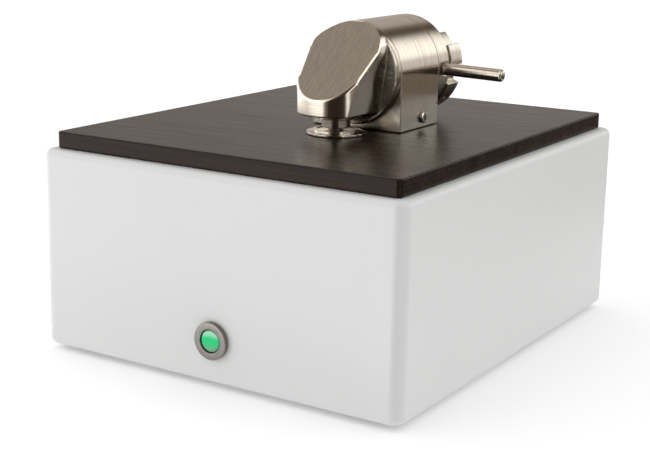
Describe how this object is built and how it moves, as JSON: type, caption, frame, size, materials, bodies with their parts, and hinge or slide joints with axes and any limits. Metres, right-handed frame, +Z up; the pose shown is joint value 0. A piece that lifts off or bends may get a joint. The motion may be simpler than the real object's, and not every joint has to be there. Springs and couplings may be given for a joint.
{
  "type": "infrared spectrometer",
  "caption": "Bench infrared spectrometer: white housing, wood-grain deck with a crystal plate and a swing-over steel sample press, round green push button in front.",
  "frame": {"origin": "on the table, under the middle of the housing", "axes": "+Z up, the front face with the button looks along -Y, the press lever points along +X"},
  "size_m": [0.254, 0.2939, 0.2044],
  "materials": {
    "white_paint": "satin white paint",
    "wood_laminate": "dark brown wood grain, soft gloss",
    "brushed_steel": "brushed stainless steel",
    "polished_steel": "polished steel",
    "button_steel": "fine brushed",
    "green_lens": "translucent green",
    "black_plastic": "matt black",
    "rubber": "matt black rubber",
    "sheet_metal": "zinc plated sheet",
    "cast_aluminium": "milled aluminium",
    "bronze": "sintered bronze",
    "spring_steel": "spring wire",
    "crystal": "polished crystal",
    "mirror_coat": "coated mirror surface",
    "ceramic": "pale ceramic",
    "circuit_board": "green circuit board",
    "copper": "enamelled copper winding",
    "desiccant_plastic": "pale plastic"
  },
  "bodies": {
    "case": {"base_plate": "sheet_metal", "base_screw_1": "polished_steel", "base_screw_2": "polished_steel", "base_screw_3": "polished_steel", "base_screw_4": "polished_steel", "beam_splitter": "crystal", "bench_mount_1": "rubber", "bench_mount_2": "rubber", "bench_mount_3": "rubber", "button_bezel": "button_steel", "button_nut": "polished_steel", "button_switch": "black_plastic", "crystal": "crystal", "crystal_plate": "polished_steel", "data_socket": "polished_steel", "deck_plate": "wood_laminate", "desiccant_cartridge": "desiccant_plastic", "detector": "cast_aluminium", "drive_magnet": "sheet_metal", "fixed_mirror": "mirror_coat", "fold_mirror": "mirror_coat", "foot_front_left": "rubber", "foot_front_right": "rubber", "foot_rear_left": "rubber", "foot_rear_right": "rubber", "front_bush": "bronze", "housing": "white_paint", "ir_source": "ceramic", "main_board": "circuit_board", "module_tray": "cast_aluminium", "optical_bench": "cast_aluminium", "power_inlet": "black_plastic", "press_block": "brushed_steel", "press_screw_1": "polished_steel", "press_screw_2": "polished_steel", "press_screw_3": "polished_steel", "press_screw_4": "polished_steel", "rear_bush": "bronze", "reference_laser": "black_plastic", "side_screw_left": "polished_steel", "side_screw_right": "polished_steel", "source_housing": "cast_aluminium", "splitter_block": "cast_aluminium", "stop_pin": "polished_steel", "transfer_mirrors": "mirror_coat"},
    "button": {"button_lens": "green_lens"},
    "press_arm": {"press_head": "brushed_steel", "press_shaft": "polished_steel", "lever_collar": "brushed_steel", "lever": "polished_steel", "stop_hub": "brushed_steel", "hub_screw": "polished_steel", "hub_set_screw": "polished_steel", "anvil_guide": "polished_steel", "anvil_spring": "spring_steel"},
    "anvil": {"anvil": "polished_steel"},
    "mirror_carriage": {"mirror_carriage": "cast_aluminium", "moving_mirror": "mirror_coat", "drive_coil": "copper"}
  },
  "joints": [
    {"name": "button_press", "type": "slide", "parent": "case", "child": "button", "axis": [0, 1, 0], "range_m": [0, 0.0015], "stiffness_N_per_m": 500, "springref_m": -0.003},
    {"name": "press_swing", "type": "hinge", "parent": "case", "child": "press_arm", "pos_m": [0.0195, 0, 0.1724], "axis": [0, -1, 0], "range_deg": [0, 100]},
    {"name": "anvil_lift", "type": "slide", "parent": "press_arm", "child": "anvil", "axis": [0, 0, 1], "range_m": [0, 0.0025], "stiffness_N_per_m": 4000, "springref_m": -0.003, "deforming": ["anvil_spring"]},
    {"name": "mirror_scan", "type": "slide", "parent": "case", "child": "mirror_carriage", "axis": [1, 0, 0], "range_m": [-0.003, 0.003]}
  ]
}
